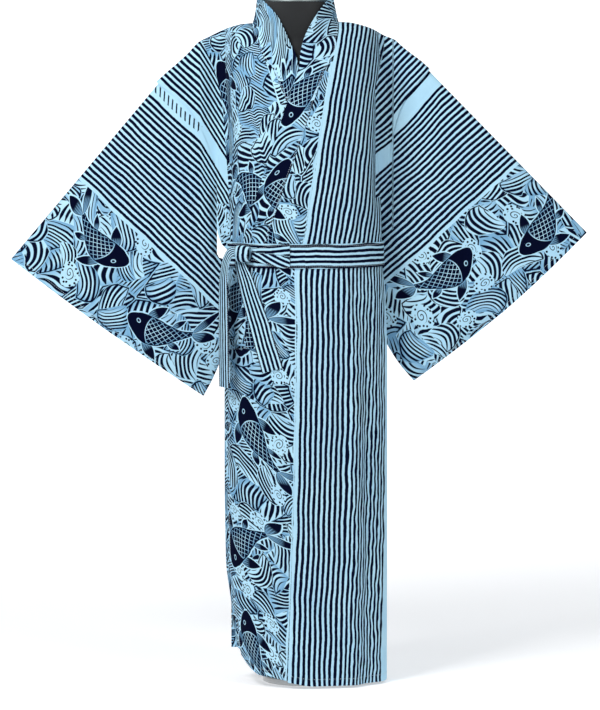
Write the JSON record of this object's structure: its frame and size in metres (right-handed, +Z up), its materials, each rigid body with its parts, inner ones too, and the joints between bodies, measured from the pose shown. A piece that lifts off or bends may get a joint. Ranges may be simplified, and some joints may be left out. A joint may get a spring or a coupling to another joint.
{
  "type": "cotton yukata robe on a dress form",
  "caption": "Ankle-length wrapped cotton robe with hanging square sleeves, standing collar band and knotted narrow sash, on a limbless dress form with a round base.",
  "frame": {"origin": "centre of the dress form's round base, on its underside, on the floor", "axes": "+Z up, -Y the side the robe's fronts face, +X the wearer's left"},
  "size_m": [1.2592, 0.2503, 1.5003],
  "materials": {
    "body_cotton": "plain-woven cotton, matt",
    "overlap_cotton": "plain-woven cotton, matt",
    "collar_cotton": "plain-woven cotton, matt",
    "sleeve_cotton": "plain-woven cotton, matt",
    "belt_cotton": "plain-woven cotton, matt",
    "form_black_jersey": "matt jersey cover over a moulded torso",
    "cap_satin_metal": "satin",
    "form_painted_steel": "satin white paint"
  },
  "bodies": {
    "root": {"body_left": "body_cotton", "body_right": "body_cotton", "okumi_left": "overlap_cotton", "okumi_right": "overlap_cotton", "collar": "collar_cotton", "sleeve_left": "sleeve_cotton", "sleeve_right": "sleeve_cotton", "belt_band": "belt_cotton", "belt_lap": "belt_cotton", "belt_knot": "belt_cotton", "belt_tail_front": "belt_cotton", "belt_tail_side": "belt_cotton", "form_torso": "form_black_jersey", "form_cap": "cap_satin_metal", "form_pole": "form_painted_steel", "form_base": "form_painted_steel"}
  },
  "joints": []
}
